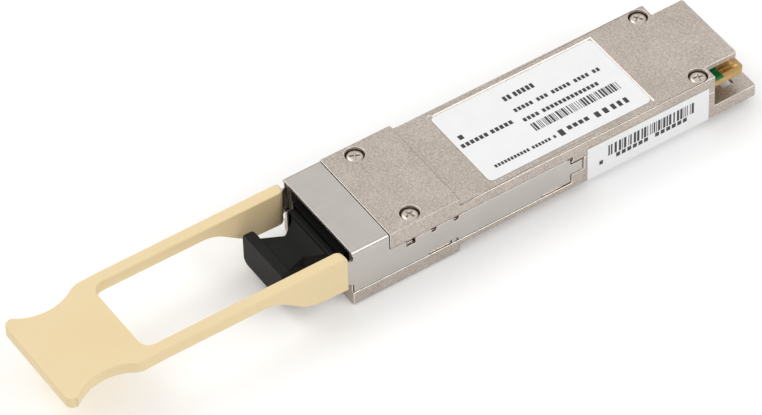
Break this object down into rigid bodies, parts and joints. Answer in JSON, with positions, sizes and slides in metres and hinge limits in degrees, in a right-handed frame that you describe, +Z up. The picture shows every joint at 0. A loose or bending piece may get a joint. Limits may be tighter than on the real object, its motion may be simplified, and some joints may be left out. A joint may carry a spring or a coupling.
{
  "type": "optical transceiver module",
  "caption": "Pluggable parallel-fibre transceiver in a cast metal shell, with a card edge, a side-latching slider with a soft pull tab, and a dust plug in its optical port.",
  "frame": {"origin": "on the centre line, in the plane of the rear face of the raised nose block (the cage stop), at the level of the body's flat underside", "axes": "+X from the pull tab towards the card edge, +Y to the module's left side, +Z up through the labelled cover"},
  "size_m": [0.1184, 0.0185, 0.0108],
  "materials": {
    "nickel_casting": "satin nickel plate over a grainy zinc casting",
    "stainless_sheet": "satin",
    "steel_screw": "nickel plated",
    "beige_elastomer": "smooth matte",
    "black_rubber": "matte",
    "black_polymer": "matte",
    "label_film": "matte",
    "green_board": "satin solder mask",
    "gold_pad": "hard gold plate",
    "grey_gasket": "matte",
    "dark_chip": "matte",
    "silicon": "polished",
    "ceramic": "matte",
    "ferrite": "matte",
    "amber_optic": "clear amber",
    "fibre_film": "glossy",
    "ferrule_polymer": "filled polymer",
    "pin_steel": "ground",
    "spring_steel": "bright wire",
    "gap_filler": "soft matte"
  },
  "bodies": {
    "housing": {"chip_capacitors": "ceramic", "chip_resistors": "dark_chip", "circuit_board": "green_board", "cover_gasket": "grey_gasket", "cover_screws": "steel_screw", "edge_contacts_bottom": "gold_pad", "edge_contacts_top": "gold_pad", "fibre_ribbon": "fibre_film", "guide_pins": "pin_steel", "laser_array": "silicon", "laser_driver_chip": "silicon", "lens_block": "amber_optic", "lower_housing": "nickel_casting", "microcontroller": "dark_chip", "mt_ferrule": "ferrule_polymer", "optical_receptacle": "black_polymer", "photodiode_array": "silicon", "pin_clamp": "pin_steel", "power_inductors": "ferrite", "receiver_chip": "silicon", "receptacle_retainer": "spring_steel", "return_spring_left": "spring_steel", "return_spring_right": "spring_steel", "side_label": "label_film", "thermal_pad_bottom": "gap_filler", "thermal_pad_top": "gap_filler", "top_cover": "nickel_casting", "top_label": "label_film"},
    "latch_slider": {"latch_band": "stainless_sheet", "pull_tab": "beige_elastomer"},
    "plug": {"dust_plug": "black_rubber"}
  },
  "joints": [
    {"name": "latch_pull", "type": "slide", "parent": "housing", "child": "latch_slider", "axis": [-1, 0, 0], "range_m": [0, 0.0025], "stiffness_N_per_m": 800, "springref_m": -0.004, "deforming": ["return_spring_left", "return_spring_right"]},
    {"name": "plug_pull", "type": "slide", "parent": "housing", "child": "plug", "axis": [-1, 0, 0], "range_m": [0, 0.014]}
  ]
}
